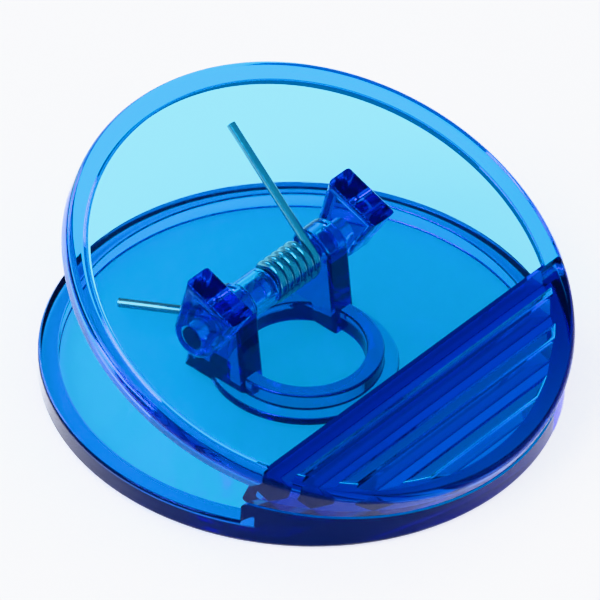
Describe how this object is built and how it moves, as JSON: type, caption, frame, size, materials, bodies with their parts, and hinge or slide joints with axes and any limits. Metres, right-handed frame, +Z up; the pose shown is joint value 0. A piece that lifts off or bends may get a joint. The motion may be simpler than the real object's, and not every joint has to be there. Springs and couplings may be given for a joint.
{
  "type": "round spring clip",
  "caption": "Round spring clip with two hinged clear plates; squeezing one side opens a jaw, ribbed on the upper plate, that a torsion spring closes again.",
  "frame": {"origin": "centre of the lower plate's bottom face", "axes": "+Z up, hinge axis along X, jaw on the -Y side, finger side on the +Y side"},
  "size_m": [0.075, 0.0756, 0.0325],
  "materials": {
    "clear_blue_plastic": "moulded transparent polystyrene, dyed blue, polished",
    "pin_plastic": "moulded transparent plastic rod, dyed blue",
    "spring_steel": "bright drawn spring wire"
  },
  "bodies": {
    "lower": {"lower_plate": "clear_blue_plastic", "spring_spacer": "clear_blue_plastic", "torsion_spring": "spring_steel"},
    "upper": {"upper_plate": "clear_blue_plastic", "hinge_pin": "pin_plastic"}
  },
  "joints": [
    {"name": "plate_hinge", "type": "hinge", "parent": "lower", "child": "upper", "pos_m": [0, 0.0059, 0.0137], "axis": [-1, 0, 0], "range_deg": [0, 46], "stiffness_Nm_per_rad": 0.2, "springref_deg": -51.57, "deforming": ["torsion_spring"]}
  ]
}
